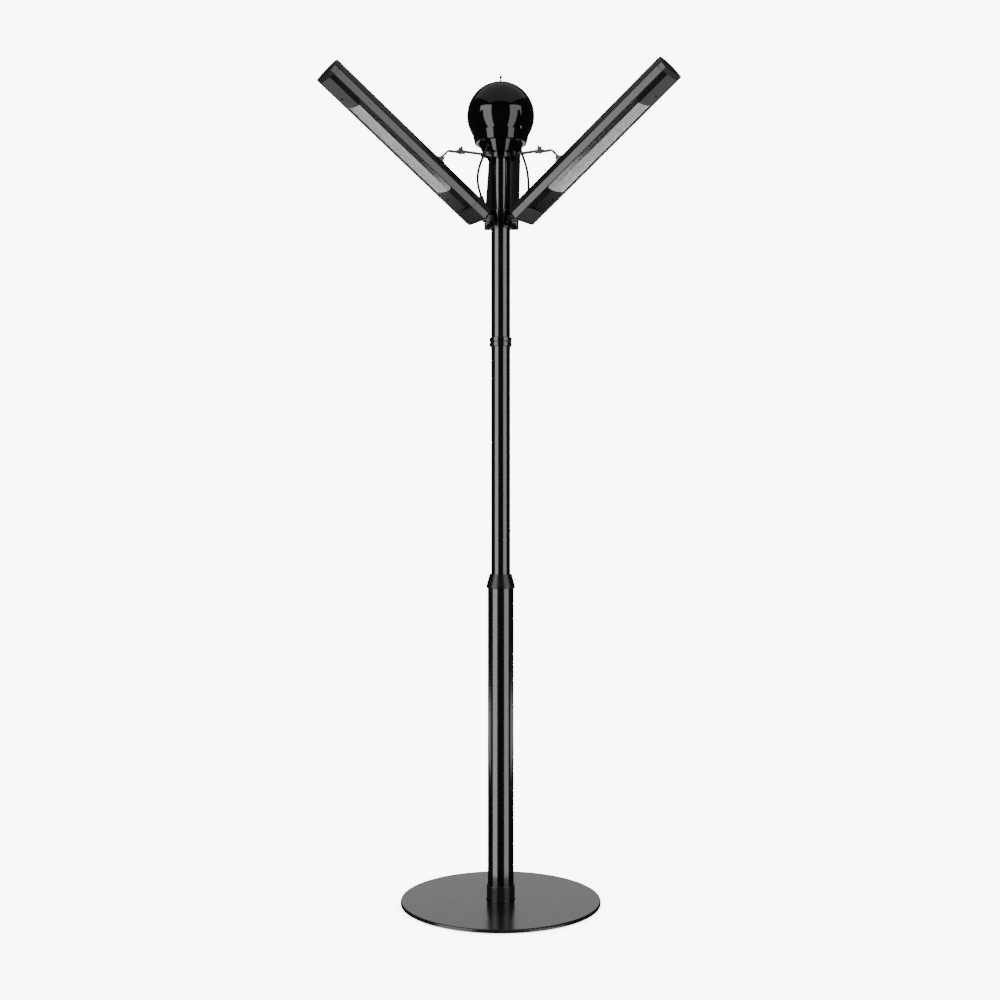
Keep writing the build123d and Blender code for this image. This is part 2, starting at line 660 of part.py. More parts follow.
def grille():
    """Folded guard behind the window, pierced by rows of long openings."""
    setback = PLATE_SETBACK + PLATE_THICKNESS + FIT_GAP
    sheet = folded_sheet(PLATE_HALF_WIDTH, setback, GRILLE_THICKNESS, *PLATE_SPAN)
    sheet = sheet & window(GRILLE_OVERLAP, -PLATE_FOLD, 3 * PLATE_FOLD)
    row_width = (WINDOW_HALF_WIDTH - GRILLE_BAR) / GRILLE_ROWS
    count = int((WINDOW_END - WINDOW_START) // GRILLE_PITCH) - 1
    first = (WINDOW_START + WINDOW_END - WINDOW_BOW - (count - 1) * GRILLE_PITCH) / 2
    openings = []
    for column in range(count):
        x = first + column * GRILLE_PITCH
        for row in range(GRILLE_ROWS):
            y = GRILLE_BAR / 2 + row * (row_width + GRILLE_BAR / 3)
            for side in (-1, 1):
                middle = side * (y + row_width / 2)
                opening = Box(GRILLE_PITCH - GRILLE_BAR, row_width - GRILLE_BAR / 3, 6 * PLATE_FOLD)
                openings.append(Pos(x, middle, 0) * opening)
    return sheet - openings


REFLECTOR_START = WINDOW_START - WINDOW_BOW - REFLECTOR_OVERRUN
REFLECTOR_END = WINDOW_END + REFLECTOR_OVERRUN


def reflector():
    """Curved trough behind the grille; its two flanges rest in the shell."""

    def bar(grow):
        half = PLATE_HALF_WIDTH - REFLECTOR_FLANGE - REFLECTOR_THICKNESS + grow
        left = (0, -half, REFLECTOR_RIM)
        right = (0, half, REFLECTOR_RIM)
        crown = (0, 0, REFLECTOR_CROWN + grow)
        face = make_face([Line(right, left), ThreePointArc(left, crown, right)])
        length = REFLECTOR_END - REFLECTOR_START
        return Pos(REFLECTOR_START, 0, 0) * extrude(face, amount=length, dir=(1, 0, 0))

    flanges = block(
        REFLECTOR_START,
        REFLECTOR_END,
        -PLATE_HALF_WIDTH,
        PLATE_HALF_WIDTH,
        REFLECTOR_RIM,
        REFLECTOR_RIM + REFLECTOR_THICKNESS,
    )
    return flanges + bar(REFLECTOR_THICKNESS) - bar(0)


def heater_tube():
    """Quartz tube with narrower pinched ends."""
    start = REFLECTOR_START - HOLDER_LENGTH
    end = REFLECTOR_END + HOLDER_LENGTH
    ends = Pos(start - TUBE_END_LENGTH, 0, TUBE_DEPTH) * Rot(0, 90, 0)
    thin = ends * Cylinder(TUBE_END_RADIUS, end - start + 2 * TUBE_END_LENGTH, align=UP)
    thick = Pos(start, 0, TUBE_DEPTH) * Rot(0, 90, 0) * Cylinder(TUBE_RADIUS, end - start, align=UP)
    return thick + thin


def tube_holders():
    """Ceramic blocks that carry the quartz tube, one beyond each end of the reflector."""
    bore = Pos(0, 0, TUBE_DEPTH) * Rot(0, 90, 0) * Cylinder(TUBE_RADIUS + FIT_GAP, 4 * HEAD_LENGTH)
    holders = []
    for x in (REFLECTOR_START - HOLDER_LENGTH, REFLECTOR_END):
        body = block(x, x + HOLDER_LENGTH, -HOLDER_HALF_WIDTH, HOLDER_HALF_WIDTH, HOLDER_FRONT, HOLDER_BACK)
        holders.append(body - bore)
    return holders


def stay_bracket():
    """Saddle on the back of the shell with two ears for the head stay."""
    low = HEAD_DEPTH - BRACKET_SADDLE
    high = HEAD_DEPTH + BRACKET_TOP
    start = HEAD_PIVOT_ALONG - BRACKET_HALF_LENGTH
    end = HEAD_PIVOT_ALONG + BRACKET_HALF_LENGTH
    saddle = block(start, end, -EAR_OUTER, EAR_OUTER, low, high)
    ear_start = HEAD_PIVOT_ALONG - STAY_EYE_RADIUS
    ear_end = HEAD_PIVOT_ALONG + STAY_EYE_RADIUS
    for near, far in ((EAR_INNER, EAR_OUTER), (-EAR_OUTER, -EAR_INNER)):
        ear = block(ear_start, ear_end, near, far, low, HEAD_PIVOT_DEPTH)
        ear += cross_bar(STAY_EYE_RADIUS, HEAD_PIVOT_ALONG, HEAD_PIVOT_DEPTH, near, far)
        saddle += ear
    hole = PIN_RADIUS + FIT_GAP
    saddle -= cross_bar(hole, HEAD_PIVOT_ALONG, HEAD_PIVOT_DEPTH, -EAR_OUTER, EAR_OUTER)
    relief = STAY_EYE_RADIUS + TURN_GAP
    saddle -= cross_bar(relief, HEAD_PIVOT_ALONG, HEAD_PIVOT_DEPTH, -EAR_INNER, EAR_INNER)
    return saddle - arch(HEAD_HALF_WIDTH + FIT_GAP, HEAD_DEPTH + FIT_GAP, 0, start, end)


# ---- stays, drawn at azimuth 0 -----------------------------------------------------------------


def hub_stay():
    """Slotted strap that swings on the cone's clevis."""
    end = SCREW_REACH + SCREW_TO_STAY_END
    half = STAY_HALF_WIDTH
    strap = block(HUB_PIVOT_RADIUS, end - half, -half, half, STAY_FACE_Z, STAY_FACE_Z + STAY_THICKNESS)
    strap += Pos(end - half, 0, STAY_FACE_Z) * Cylinder(half, STAY_THICKNESS, align=UP)
    strap += cross_bar(STAY_EYE_RADIUS, HUB_PIVOT_RADIUS, HUB_PIVOT_Z, -EYE_HALF_WIDTH, EYE_HALF_WIDTH)
    strap -= cross_bar(PIN_RADIUS + FIT_GAP, HUB_PIVOT_RADIUS, HUB_PIVOT_Z, -EYE_HALF_WIDTH, EYE_HALF_WIDTH)
    slot = SCREW_RADIUS + TURN_GAP
    far = SCREW_REACH
    near = far - SLOT_TRAVEL
    low = STAY_FACE_Z - STAY_THICKNESS
    high = STAY_FACE_Z + 2 * STAY_THICKNESS
    strap -= block(near, far, -slot, slot, low, high)
    for x in (near, far):
        strap -= Pos(x, 0, low) * Cylinder(slot, high - low, align=UP)
    return strap


def head_stay():
    """Strap under the hub stay, bent down to the bracket on the head."""
    start = SCREW_REACH - SCREW_TO_STAY_END
    bend = HEAD_PIVOT_RADIUS - STAY_BEND_SETBACK
    middle = (HEAD_STAY_LOW + HEAD_STAY_TOP) / 2
    centre_line = Polyline((start, 0, middle), (bend, 0, middle), (HEAD_PIVOT_RADIUS, 0, HEAD_PIVOT_Z))
    flat = make_face(offset(centre_line, STAY_THICKNESS / 2, side=Side.BOTH, kind=Kind.INTERSECTION))
    strap = Pos(0, STAY_HALF_WIDTH, 0) * extrude(flat, amount=2 * STAY_HALF_WIDTH, dir=(0, -1, 0))
    strap += cross_bar(STAY_EYE_RADIUS, HEAD_PIVOT_RADIUS, HEAD_PIVOT_Z, -EYE_HALF_WIDTH, EYE_HALF_WIDTH)
    strap += cross_bar(PIN_RADIUS, HEAD_PIVOT_RADIUS, HEAD_PIVOT_Z, -EAR_OUTER, EAR_OUTER)
    hole = Cylinder(SCREW_RADIUS + FIT_GAP, 4 * STAY_THICKNESS)
    return strap - Pos(SCREW_REACH, 0, middle) * hole


def wing_screw():
    """Screw through both straps: button below, collar and two wings above."""
    top = STAY_FACE_Z + STAY_THICKNESS + SCREW_LIFT
    low = HEAD_STAY_LOW - TURN_GAP
    screw = rod(SCREW_RADIUS, low - SCREW_BUTTON, top + SCREW_HEAD_HEIGHT)
    screw += rod(SCREW_HEAD_RADIUS, low - SCREW_BUTTON, low)
    screw += rod(SCREW_HEAD_RADIUS, top, top + SCREW_HEAD_HEIGHT)
    foot = top + SCREW_HEAD_HEIGHT / 2
    crest = top + SCREW_HEAD_HEIGHT + WING_HEIGHT
    wings = make_face(
        Polyline(
            (0, -SCREW_HEAD_RADIUS, foot),
            (0, SCREW_HEAD_RADIUS, foot),
            (0, WING_HALF_SPAN, crest - WING_THICKNESS),
            (0, WING_HALF_SPAN - WING_THICKNESS, crest),
            (0, 0, foot + SCREW_HEAD_HEIGHT),
            (0, WING_THICKNESS - WING_HALF_SPAN, crest),
            (0, -WING_HALF_SPAN, crest - WING_THICKNESS),
            close=True,
        )
    )
    screw += Pos(-WING_THICKNESS / 2, 0, 0) * extrude(wings, amount=WING_THICKNESS, dir=(1, 0, 0))
    return Pos(SCREW_REACH, 0, 0) * screw


# ---- writing the pieces ------------------------------------------------------------------------


def write(name, solids):
    """Writes one piece, or one group of equal pieces, as a STEP file."""
    if isinstance(solids, list):
        solids = Compound(children=solids)
    export_step(solids, os.path.join("parts", name + ".step"))


def main():
    os.makedirs("parts", exist_ok=True)
    for piece in (
        base_pad,
        base_plate,
        base_socket,
        base_bolts,
        lower_tube,
        mains_gland,
        guide_bush,
        clamp_ring,
        lock_collar,
        middle_tube,
        end_guide,
        joint_coupling,
        upper_tube,
        hub_collar,
        hub_cone,
        ball_cup,
        ball_dome,
        finial,
        terminal_block,
        hinge_pins,
        lead_glands,
    ):
        write(piece.__name__, piece())
    head_pieces = (
        shell,
        lower_cap,
        upper_cap,
        front_plate,
        grille,
        reflector,
        heater_tube,
        tube_holders,
        stay_bracket,
    )
    for piece in head_pieces:
        drawn = piece()
        group = drawn if isinstance(drawn, list) else [drawn]
        for name, azimuth in HEADS.items():
            placed = [Rot(0, 0, azimuth) * HEAD_PLACE * solid for solid in group]
            write(name + "_" + piece.__name__, placed if len(placed) > 1 else placed[0])
    for piece in (lead, hub_stay, head_stay, wing_screw):
        drawn = piece()
        for name, azimuth in HEADS.items():
            write(name + "_" + piece.__name__, Rot(0, 0, azimuth) * drawn)
    print("head hinge", HINGE_RADIUS, HINGE_Z)
    print("hub pivot", HUB_PIVOT_RADIUS, HUB_PIVOT_Z)
    print("head pivot", HEAD_PIVOT_RADIUS, HEAD_PIVOT_Z)


main()
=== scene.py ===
"""Outdoor stand heater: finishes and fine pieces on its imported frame, laid out as an add-on."""

import json
import math

import bmesh
import bpy
from bpy.props import FloatProperty, FloatVectorProperty, PointerProperty
from mathutils import Matrix, Vector


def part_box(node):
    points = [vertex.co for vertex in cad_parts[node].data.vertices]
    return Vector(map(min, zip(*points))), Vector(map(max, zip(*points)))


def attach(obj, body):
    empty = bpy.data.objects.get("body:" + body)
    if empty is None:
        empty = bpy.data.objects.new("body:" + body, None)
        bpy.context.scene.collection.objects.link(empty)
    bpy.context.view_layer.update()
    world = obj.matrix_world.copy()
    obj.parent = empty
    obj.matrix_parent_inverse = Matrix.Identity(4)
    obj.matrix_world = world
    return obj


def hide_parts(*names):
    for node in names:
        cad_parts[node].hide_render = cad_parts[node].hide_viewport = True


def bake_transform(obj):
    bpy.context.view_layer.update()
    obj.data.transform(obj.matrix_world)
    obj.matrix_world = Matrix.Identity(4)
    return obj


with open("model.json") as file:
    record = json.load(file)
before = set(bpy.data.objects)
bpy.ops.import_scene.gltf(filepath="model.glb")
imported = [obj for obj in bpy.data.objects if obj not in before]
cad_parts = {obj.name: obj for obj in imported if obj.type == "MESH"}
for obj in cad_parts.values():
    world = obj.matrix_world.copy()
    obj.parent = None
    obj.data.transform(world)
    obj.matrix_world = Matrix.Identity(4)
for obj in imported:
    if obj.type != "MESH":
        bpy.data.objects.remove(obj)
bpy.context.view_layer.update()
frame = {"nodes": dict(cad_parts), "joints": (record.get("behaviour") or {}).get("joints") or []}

HEADS = ("rear", "left", "right")
JOINTS = {joint["name"]: joint for joint in frame["joints"]}
MM = 0.001

bl_info = {
    "name": "Outdoor Heater",
    "version": (1, 0, 0),
    "blender": (4, 5, 0),
    "location": "View3D > Sidebar > Heater",
    "description": "Finishes and fine pieces of a stand heater with three tilting heads",
    "category": "Object",
}


# ---- sizes and colours a user would change -----------------------------------------------------


def length(name, description, millimetres):
    """A length property, given in millimetres."""
    default = millimetres * MM
    return FloatProperty(name=name, description=description, default=default, unit="LENGTH")


def paint(name, description, colour):
    """A colour property."""
    return FloatVectorProperty(
        name=name, description=description, default=colour, size=3, subtype="COLOR"
    )


class HeaterSizes(bpy.types.PropertyGroup):
    """Sizes of the fine pieces."""

    head_lean: FloatProperty(
        name="Head lean",
        description="Rise of a head at rest",
        default=math.radians(37),
        subtype="ANGLE",
    )
    hinge_along: length("Hinge along", "Place of a head's hinge along the head", -9)
    hinge_depth: length("Hinge depth", "Height of a head's hinge above its front", 25.6)
    guard_start: length("Guard start", "Lower end of the mesh guard along a head", 104)
    guard_end: length("Guard end", "Upper end of the mesh guard along a head", 421)
    guard_half_width: length("Guard half width", "Half of the width of the mesh guard", 41.6)
    guard_fold: length("Guard fold", "Depth of the fold along the guard's middle", 6.9)
    guard_setback: length("Guard setback", "Depth of the guard's edges behind the front", 2.9)
    guard_cell: length("Guard cell", "Pitch of the guard's crossed strips", 3.0)
    guard_strip: length("Guard strip", "Width of one strip of the guard", 1.5)
    guard_sheet: length("Guard sheet", "Thickness of the guard's sheet", 0.5)
    lead_diameter: length("Lead diameter", "Diameter of the lead to a head", 6.3)
    lead_length: length("Lead length", "Length of the lead to a head", 134)


class HeaterColours(bpy.types.PropertyGroup):
    """Colours of the finishes."""

    pole: paint("Pole", "Semi-gloss powder coat", (0.0035, 0.0035, 0.004))
    base: paint("Base", "Satin powder coat of the base", (0.012, 0.012, 0.0125))
    gloss: paint("Gloss", "Glossy paint of the ball and cone", (0.0025, 0.0028, 0.003))
    shell: paint("Shell", "Fine-textured paint of the heads", (0.008, 0.0076, 0.0074))
    cap: paint("Cap", "Satin paint of the head caps", (0.014, 0.0135, 0.013))
    plate: paint("Plate", "Satin grey of the front plates", (0.012, 0.012, 0.0125))
    bright: paint("Bright", "Bright metal of the guards", (0.86, 0.87, 0.87))
    steel: paint("Steel", "Dark grey steel of the stays", (0.05, 0.05, 0.052))
    nickel: paint("Nickel", "Warm plating of the screws", (0.42, 0.36, 0.26))
    chrome: paint("Chrome", "Bright plating of the ball's screws", (0.85, 0.86, 0.86))
    # The rubber black also serves as the painted shade on the guard's hole walls and back.
    rubber: paint("Rubber", "Rubber and cable sheath", (0.004, 0.004, 0.004))
    ceramic: paint("Ceramic", "Ceramic of the holders", (0.78, 0.76, 0.70))


# ---- materials ---------------------------------------------------------------------------------


class Finish:
    """A material under construction: a shader with its uniform values and nodes for its detail."""

    def __init__(self, name, colour, **uniform):
        self.material = bpy.data.materials.new(name)
        self.material.use_nodes = True
        self.tree = self.material.node_tree
        self.shader = self.tree.nodes["Principled BSDF"]
        self.shader.inputs["Base Color"].default_value = (*colour, 1)
        self.colour = Vector(colour)
        for key, value in uniform.items():
            self.shader.inputs[key.replace("_", " ")].default_value = value
        self.place = self.tree.nodes.new("ShaderNodeTexCoord").outputs["Object"]

    def stretched(self, scale):
        """Object coordinates stretched by a scale for each axis."""
        mapping = self.tree.nodes.new("ShaderNodeMapping")
        mapping.inputs["Scale"].default_value = scale
        self.tree.links.new(self.place, mapping.inputs["Vector"])
        return mapping.outputs["Vector"]

    def noise(self, size, detail=3.0, scale=None):
        """Soft noise with features of a size in millimetres."""
        node = self.tree.nodes.new("ShaderNodeTexNoise")
        node.inputs["Scale"].default_value = 1 / (size * MM)
        node.inputs["Detail"].default_value = detail
        place = self.place if scale is None else self.stretched(scale)
        self.tree.links.new(place, node.inputs["Vector"])
        return node.outputs["Fac"]

    def cells(self, size):
        """Small rounded cells of a size in millimetres."""
        node = self.tree.nodes.new("ShaderNodeTexVoronoi")
        node.inputs["Scale"].default_value = 1 / (size * MM)
        self.tree.links.new(self.place, node.inputs["Vector"])
        return node.outputs["Distance"]

    def spread(self, source, low, high):
        """A value that follows a source from low to high."""
        node = self.tree.nodes.new("ShaderNodeMapRange")
        node.inputs["From Min"].default_value = 0.3
        node.inputs["From Max"].default_value = 0.7
        node.inputs["To Min"].default_value = low
        node.inputs["To Max"].default_value = high
        self.tree.links.new(source, node.inputs["Value"])
        return node.outputs["Result"]

    def roughness(self, source, low, high):
        """Roughness that varies with a source."""
        self.tree.links.new(self.spread(source, low, high), self.shader.inputs["Roughness"])
        return self

    def shade(self, source, low, high):
        """Colour that varies with a source, from low to high times the base colour."""
        node = self.tree.nodes.new("ShaderNodeValToRGB")
        node.color_ramp.elements[0].position = 0.3
        node.color_ramp.elements[1].position = 0.7
        node.color_ramp.elements[0].color = (*(self.colour * low), 1)
        node.color_ramp.elements[1].color = (*(self.colour * high), 1)
        self.tree.links.new(source, node.inputs["Fac"])
        self.tree.links.new(node.outputs["Color"], self.shader.inputs["Base Color"])
        return self

    def bump(self, source, depth, strength=1.0):
        """Relief of a depth in millimetres, on top of any relief that is there."""
        node = self.tree.nodes.new("ShaderNodeBump")
        node.inputs["Strength"].default_value = strength
        node.inputs["Distance"].default_value = depth * MM
        self.tree.links.new(source, node.inputs["Height"])
        normal = self.shader.inputs["Normal"]
        if normal.is_linked:
            self.tree.links.new(normal.links[0].from_socket, node.inputs["Normal"])
        self.tree.links.new(node.outputs["Normal"], normal)
        return self


def powder_coat(colours):
    """Semi-gloss powder coat with a fine orange peel."""
    finish = Finish("powder_coat", colours.pole, Roughness=0.14, IOR=1.9)
    finish.shade(finish.noise(60), 0.8, 1.25)
    finish.roughness(finish.noise(25), 0.11, 0.17)
    return finish.bump(finish.noise(2.2, 2), 0.02, 0.15).material


def base_coat(colours):
    """Satin powder coat with a sandy grain and faint scuffs."""
    finish = Finish("base_coat", colours.base, Roughness=0.2, IOR=1.6)
    finish.shade(finish.noise(45, 6), 0.85, 1.2)
    finish.roughness(finish.noise(12, 6, (1, 6, 1)), 0.16, 0.26)
    return finish.bump(finish.cells(0.9), 0.02, 0.12).material


def gloss_black(colours):
    """Deep glossy lacquer with a faint orange peel."""
    finish = Finish("gloss_black", colours.gloss, Roughness=0.05, IOR=1.6)
    finish.shade(finish.noise(40), 0.8, 1.3)
    finish.roughness(finish.noise(30), 0.03, 0.07)
    return finish.bump(finish.noise(6.0, 2), 0.015, 0.06).material


def shell_paint(colours):
    """Fine wrinkle paint of the head shells."""
    finish = Finish("shell_paint", colours.shell, Roughness=0.2, IOR=1.7)
    finish.shade(finish.noise(8, 5), 0.7, 1.5)
    finish.roughness(finish.cells(1.4), 0.16, 0.26)
    return finish.bump(finish.cells(1.2), 0.03, 0.2).material


def cap_paint(colours):
    """Satin paint of the cast caps."""
    finish = Finish("cap_paint", colours.cap, Roughness=0.25, IOR=1.7)
    finish.shade(finish.noise(14, 5), 0.8, 1.25)
    finish.roughness(finish.noise(3, 4), 0.2, 0.3)
    return finish.bump(finish.noise(0.9), 0.015, 0.25).material


def plate_paint(colours):
    """Satin grey paint of the folded front plates."""
    finish = Finish("plate_paint", colours.plate, Roughness=0.2)
    finish.shade(finish.noise(20, 5), 0.75, 1.3)
    finish.roughness(finish.noise(5, 4), 0.15, 0.26)
    return finish.bump(finish.noise(0.8), 0.02, 0.4).material


def bright_steel(colours):
    """Bright rolled metal of the mesh guards."""
    finish = Finish("bright_steel", colours.bright, Roughness=0.12, Metallic=1.0)
    finish.shade(finish.noise(18, 4), 0.94, 1.04)
    finish.roughness(finish.noise(2, 4), 0.1, 0.14)
    return finish.bump(finish.noise(0.4), 0.001, 0.1).material


def painted_shade_walls(colours):
    """Painted shade on the sheared walls of the guard's openings and on its back: near black, so
    the guard darkens where it is seen at a grazing angle.
    """
    # The near black is painted shade, borrowed from the rubber colour, not the steel's own colour.
    finish = Finish("painted_shade_walls", colours.rubber, Roughness=0.7, Metallic=0.3)
    finish.shade(finish.noise(3, 3), 0.8, 1.5)
    finish.roughness(finish.noise(2, 3), 0.6, 0.8)
    return finish.bump(finish.noise(0.3), 0.01, 0.4).material


def polished_aluminium(colours):
    """Polished trough with drawn streaks."""
    finish = Finish("polished_aluminium", colours.bright, Roughness=0.2, Metallic=1.0)
    finish.roughness(finish.noise(6, 6, (1, 1, 7)), 0.14, 0.3)
    return finish.bump(finish.noise(1.5, 4, (1, 1, 9)), 0.01, 0.3).material


def strap_steel(colours):
    """Dark grey strap steel with rolling marks and dull spots."""
    finish = Finish("strap_steel", colours.steel, Roughness=0.3, Metallic=0.4)
    finish.shade(finish.noise(7, 6), 0.7, 1.2)
    finish.roughness(finish.noise(3, 6, (1, 1, 5)), 0.3, 0.5)
    return finish.bump(finish.noise(0.7, 5), 0.015, 0.4).material


def nickel(colours):
    """Warm plating of the wing screws and base bolts."""
    finish = Finish("nickel", colours.nickel, Roughness=0.28, Metallic=1.0)
    finish.shade(finish.noise(4, 4), 0.8, 1.1)
    finish.roughness(finish.noise(1.5, 4), 0.2, 0.38)
    return finish.bump(finish.noise(0.5), 0.01, 0.3).material


def black_oxide(colours):
    """Black oxide of the steel screws."""
    finish = Finish("black_oxide", colours.steel, Roughness=0.35, Metallic=0.8)
    finish.shade(finish.noise(2, 4), 0.4, 0.9)
    finish.roughness(finish.noise(1, 4), 0.28, 0.45)
    return finish.bump(finish.noise(0.4), 0.005, 0.3).material


def chrome(colours):
    """Bright plating of small screws."""
    finish = Finish("chrome", colours.chrome, Roughness=0.12, Metallic=1.0)
    finish.roughness(finish.noise(1.5, 4), 0.08, 0.18)
    return finish.bump(finish.noise(0.8), 0.005, 0.2).material


def black_plastic(colours):
    """Fine-grained moulded plastic."""
    finish = Finish("black_plastic", colours.shell, Roughness=0.45)
    finish.shade(finish.noise(10, 4), 0.85, 1.2)
    finish.roughness(finish.noise(2, 3), 0.4, 0.55)
    return finish.bump(finish.cells(0.5), 0.02, 0.4).material


def collar_plastic(colours):
    """Satin nylon of the lock collar."""
    finish = Finish(
        "collar_plastic", colours.pole, Roughness=0.3, Coat_Weight=0.2, Coat_Roughness=0.2
    )
    finish.shade(finish.noise(15, 4), 0.8, 1.3)
    finish.roughness(finish.noise(4, 3), 0.25, 0.38)
    return finish.bump(finish.noise(0.8), 0.02, 0.4).material


def natural_nylon(colours):
    """Cream nylon of the guide bush and clamp ring."""
    finish = Finish("natural_nylon", colours.ceramic, Roughness=0.5, Subsurface_Weight=0.1)
    finish.shade(finish.noise(9, 4), 0.8, 0.95)
    finish.roughness(finish.noise(2, 3), 0.4, 0.6)
    return finish.bump(finish.noise(0.7), 0.02, 0.3).material


def rubber(colours):
    """Dull rubber with a dusty bloom."""
    finish = Finish("rubber", colours.rubber, Roughness=0.6, Sheen_Weight=0.1)
    finish.shade(finish.noise(6, 6), 0.7, 1.6)
    finish.roughness(finish.noise(3, 5), 0.5, 0.75)
    return finish.bump(finish.noise(0.5), 0.03, 0.4).material


def cable_sheath(colours):
    """Smooth black cable sheath with a satin surface."""
    finish = Finish("cable_sheath", colours.rubber, Roughness=0.4)
    finish.shade(finish.noise(5, 4), 0.7, 1.4)
    finish.roughness(finish.noise(3, 4), 0.35, 0.5)
    return finish.bump(finish.noise(0.8), 0.02, 0.3).material


def ceramic(colours):
    """Unglazed ceramic with small specks."""
    finish = Finish("ceramic", colours.ceramic, Roughness=0.7)
    finish.shade(finish.noise(1.5, 6), 0.8, 1.05)
    finish.roughness(finish.noise(2, 4), 0.6, 0.8)
    return finish.bump(finish.noise(0.6, 5), 0.03, 0.4).material


def quartz(colours):
    """Clear quartz with drawing streaks."""
    finish = Finish("quartz", colours.bright, Roughness=0.05, Transmission_Weight=0.85, IOR=1.46)
    finish.roughness(finish.noise(3, 4), 0.03, 0.12)
    return finish.bump(finish.noise(4, 2, (1, 1, 4)), 0.02, 0.2).material


FINISHES = {
    "powder_coat": powder_coat,
    "base_coat": base_coat,
    "gloss_black": gloss_black,
    "shell_paint": shell_paint,
    "cap_paint": cap_paint,
    "plate_paint": plate_paint,
    "bright_steel": bright_steel,
    "painted_shade_walls": painted_shade_walls,
    "polished_aluminium": polished_aluminium,
    "strap_steel": strap_steel,
    "nickel": nickel,
    "black_oxide": black_oxide,
    "chrome": chrome,
    "black_plastic": black_plastic,
    "collar_plastic": collar_plastic,
    "natural_nylon": natural_nylon,
    "rubber": rubber,
    "cable_sheath": cable_sheath,
    "ceramic": ceramic,
    "quartz": quartz,
}


MADE = {}


def finish_of(name):
    """The material of a finish, made once."""
    if name not in MADE:
        MADE[name] = FINISHES[name](bpy.context.scene.heater_colours)
    return MADE[name]


def coat(nodes, finish):
    """Gives CAD nodes a finish."""
    for node in nodes:
        slots = frame["nodes"][node].material_slots
        for slot in slots:
            slot.link = "OBJECT"
            slot.material = finish_of(finish)


def coat_heads(piece, finish):
    """Gives the same CAD node of each head a finish."""
    coat([head + "_" + piece for head in HEADS], finish)


# ---- modelling by hand -------------------------------------------------------------------------

FRONT_FACING = -0.7
UP_FACING = 0.9
SCREW_ROUNDING = 0.45
ROUND_STEPS = 32
BEAD_STEPS = 128
CABLE_MERGE = 0.001 * MM
SPIN_MERGE = 0.01 * MM
MIRROR_MERGE = 0.05 * MM
GUARD_MERGE = 0.2 * MM


def deselect():
    """Leaves object mode with nothing selected."""
    if bpy.context.object and bpy.context.object.mode != "OBJECT":
        bpy.ops.object.mode_set(mode="OBJECT")
    bpy.ops.object.select_all(action="DESELECT")


def start(name, add, **settings):
    """Adds a primitive and names it."""
    deselect()
    add(**settings)
    piece = bpy.context.object
    piece.name = name
    piece.data.name = name
    return piece


def only(piece):
    """Selects one piece alone and makes it active."""
    deselect()
    piece.select_set(True)
    bpy.context.view_layer.objects.active = piece
    return piece


def modify(piece, kind, **settings):
    """Adds a modifier and applies it."""
    only(piece)
    bpy.ops.object.modifier_add(type=kind)
    modifier = piece.modifiers[-1]
    for key, value in settings.items():
        setattr(modifier, key, value)
    bpy.ops.object.modifier_apply(modifier=modifier.name)
    return piece


def settle(piece, place=None):
    """Puts a piece's place into its mesh, so that its object is untransformed at the origin."""
    if place is not None:
        piece.matrix_world = place @ piece.matrix_world
    only(piece)
    bpy.ops.object.transform_apply(location=True, rotation=True, scale=True)
    return piece


def smooth(piece, angle=35):
    """Smooth shading below an angle in degrees."""
    only(piece)
    bpy.ops.object.shade_smooth_by_angle(angle=math.radians(angle))
    return piece


def copies(piece, places, name):
    """Copies of a settled piece at several places, joined as one piece with its own mesh."""
    made = []
    for place in places:
        only(piece)
        bpy.ops.object.duplicate()
        made.append(settle(bpy.context.object, place))
    bpy.data.objects.remove(piece, do_unlink=True)
    deselect()
    for copy in made:
        copy.select_set(True)
    bpy.context.view_layer.objects.active = made[0]
    if len(made) > 1:
        bpy.ops.object.join()
    joined = bpy.context.object
    joined.name = name
    joined.data.name = name
    return joined


def complete(piece, body, finish):
    """Gives a piece its finish and the body it rides on."""
    piece.data.materials.clear()
    piece.data.materials.append(finish_of(finish))
    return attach(piece, body)


def head_place(head):
    """Placement of a head's own frame: X along it, Y across it, Z towards its back."""
    sizes = bpy.context.scene.heater_sizes
    joint = JOINTS[head + "_tilt"]
    azimuth = math.atan2(joint["axis"][0], -joint["axis"][1])
    turn = Matrix.Rotation(azimuth, 4, "Z") @ Matrix.Rotation(-sizes.head_lean, 4, "Y")
    hinge = Vector((sizes.hinge_along, 0, sizes.hinge_depth))
    return Matrix.Translation(joint["pos_m"]) @ turn @ Matrix.Translation(-hinge)


def round_place(azimuth, radius, height):
    """Placement on the pole's surface, with X pointing outwards."""
    return Matrix.Rotation(azimuth, 4, "Z") @ Matrix.Translation((radius, 0, height))


# ---- operators ---------------------------------------------------------------------------------


